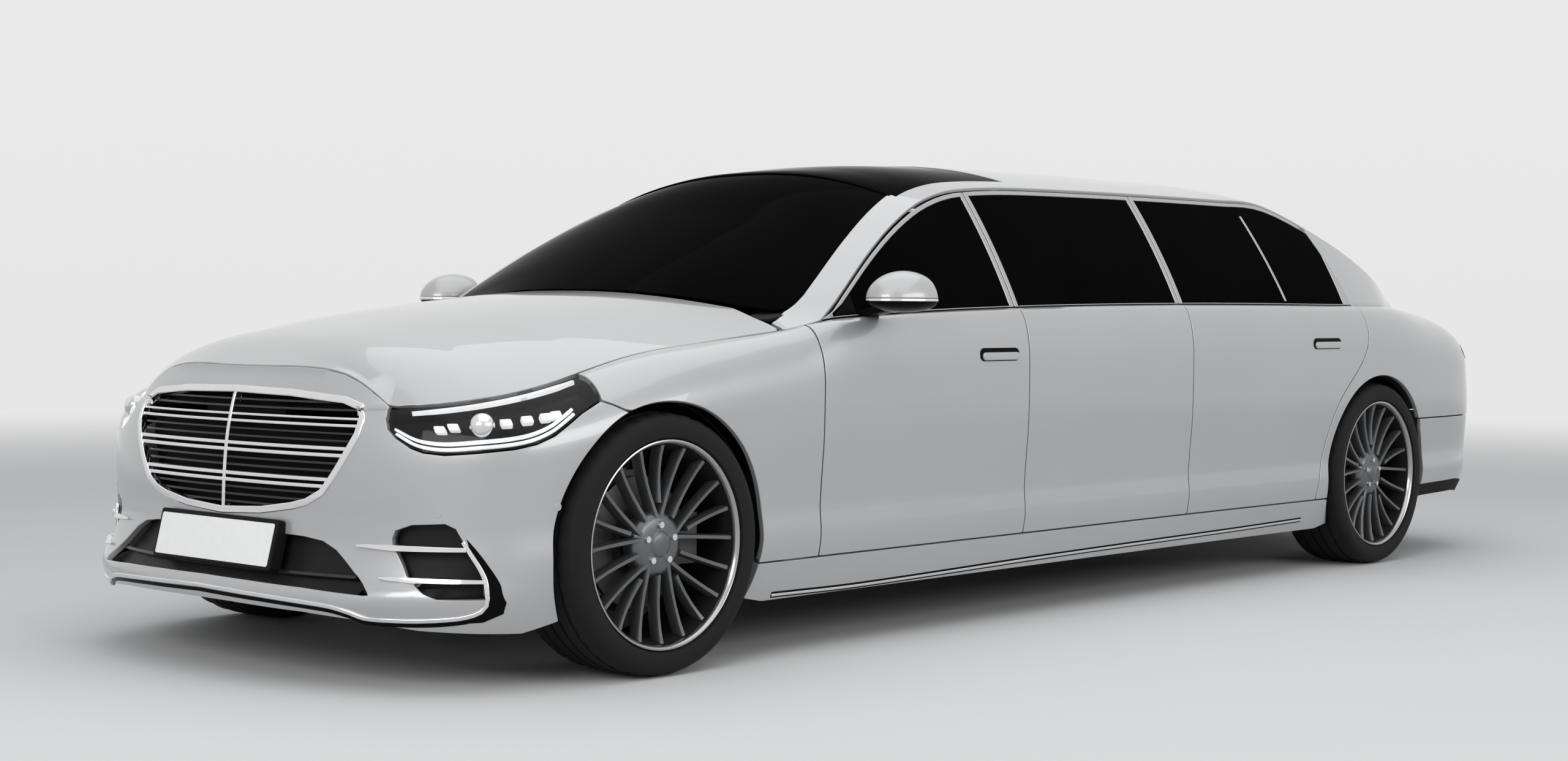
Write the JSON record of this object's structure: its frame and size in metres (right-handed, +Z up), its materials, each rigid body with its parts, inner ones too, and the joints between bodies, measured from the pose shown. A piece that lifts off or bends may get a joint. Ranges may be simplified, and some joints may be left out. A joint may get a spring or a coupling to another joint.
{
  "type": "stretch limousine",
  "caption": "Long-wheelbase luxury saloon with a fixed panel let in between front and rear doors; wheels, steering, doors, bonnet and boot lid move.",
  "frame": {"origin": "on the ground, under the middle of the body's length and width", "axes": "+Z up, car's nose towards -Y, car's left side towards +X"},
  "size_m": [2.2512, 5.953, 1.5026],
  "materials": {
    "paint": "glossy light silver-grey lacquer",
    "black_glass": "dark privacy glass",
    "lamp": "clear lamp cover over bright reflectors",
    "tail_lamp": "red lamp cover",
    "grille": "bright surround over black louvres",
    "under": "dark underbody and liners",
    "steel": "bare chassis metal",
    "trim": "dark leather and soft trim",
    "tyre": "black rubber",
    "rim": "machined and dark painted alloy"
  },
  "bodies": {
    "body": {"floor_pan": "under", "front_wings": "paint", "mid_panels": "paint", "rear_quarters": "paint", "side_skirts": "paint", "roof": "paint", "fixed_glass": "black_glass", "front_bumper": "paint", "rear_bumper": "paint", "grille": "grille", "headlamps": "lamp", "tail_lamps": "tail_lamp", "hinge_posts": "steel", "front_subframe": "steel", "engine": "steel", "rear_axle": "steel", "dashboard": "trim", "seats": "trim"},
    "bonnet": {"bonnet": "paint", "bonnet_arms": "steel"},
    "boot_lid": {"boot_lid": "paint", "boot_arms": "steel"},
    "front_door_left": {"front_door_L": "paint", "front_card_L": "trim", "front_glass_L": "black_glass", "mirror_L": "paint"},
    "rear_door_left": {"rear_door_L": "paint", "rear_card_L": "trim", "rear_glass_L": "black_glass"},
    "knuckle_left": {"knuckle_L": "steel"},
    "front_wheel_left": {"tyre_FL": "tyre", "rim_FL": "rim"},
    "rear_wheel_left": {"tyre_RL": "tyre", "rim_RL": "rim"},
    "front_door_right": {"front_door_R": "paint", "front_card_R": "trim", "front_glass_R": "black_glass", "mirror_R": "paint"},
    "rear_door_right": {"rear_door_R": "paint", "rear_card_R": "trim", "rear_glass_R": "black_glass"},
    "knuckle_right": {"knuckle_R": "steel"},
    "front_wheel_right": {"tyre_FR": "tyre", "rim_FR": "rim"},
    "rear_wheel_right": {"tyre_RR": "tyre", "rim_RR": "rim"}
  },
  "joints": [
    {"name": "bonnet_hinge", "type": "hinge", "parent": "body", "child": "bonnet", "pos_m": [0, -1.49, 0.945], "axis": [-1, 0, 0], "range_deg": [0, 50]},
    {"name": "boot_hinge", "type": "hinge", "parent": "body", "child": "boot_lid", "pos_m": [0, 2.18, 1], "axis": [1, 0, 0], "range_deg": [0, 70]},
    {"name": "front_door_left_hinge", "type": "hinge", "parent": "body", "child": "front_door_left", "pos_m": [0.9, -1.58, 0.62], "axis": [0, 0, -1], "range_deg": [0, 65]},
    {"name": "rear_door_left_hinge", "type": "hinge", "parent": "body", "child": "rear_door_left", "pos_m": [0.9, 0.386, 0.62], "axis": [0, 0, -1], "range_deg": [0, 65]},
    {"name": "steer_left", "type": "hinge", "parent": "body", "child": "knuckle_left", "pos_m": [0.77, -2.15, 0.356], "axis": [0, 0, 1], "range_deg": [-35, 35]},
    {"name": "front_wheel_left_spin", "type": "hinge", "parent": "knuckle_left", "child": "front_wheel_left", "pos_m": [0.83, -2.15, 0.356], "axis": [1, 0, 0], "continuous": true},
    {"name": "rear_wheel_left_spin", "type": "hinge", "parent": "body", "child": "rear_wheel_left", "pos_m": [0.844, 1.8, 0.356], "axis": [1, 0, 0], "continuous": true},
    {"name": "front_door_right_hinge", "type": "hinge", "parent": "body", "child": "front_door_right", "pos_m": [-0.9, -1.58, 0.62], "axis": [0, 0, 1], "range_deg": [0, 65]},
    {"name": "rear_door_right_hinge", "type": "hinge", "parent": "body", "child": "rear_door_right", "pos_m": [-0.9, 0.386, 0.62], "axis": [0, 0, 1], "range_deg": [0, 65]},
    {"name": "steer_right", "type": "hinge", "parent": "body", "child": "knuckle_right", "pos_m": [-0.77, -2.15, 0.356], "axis": [0, 0, 1], "range_deg": [-35, 35]},
    {"name": "front_wheel_right_spin", "type": "hinge", "parent": "knuckle_right", "child": "front_wheel_right", "pos_m": [-0.83, -2.15, 0.356], "axis": [1, 0, 0], "continuous": true},
    {"name": "rear_wheel_right_spin", "type": "hinge", "parent": "body", "child": "rear_wheel_right", "pos_m": [-0.844, 1.8, 0.356], "axis": [1, 0, 0], "continuous": true}
  ],
  "couplings": [
    {"joint": "steer_right", "follows": "steer_left", "ratio": 1}
  ]
}
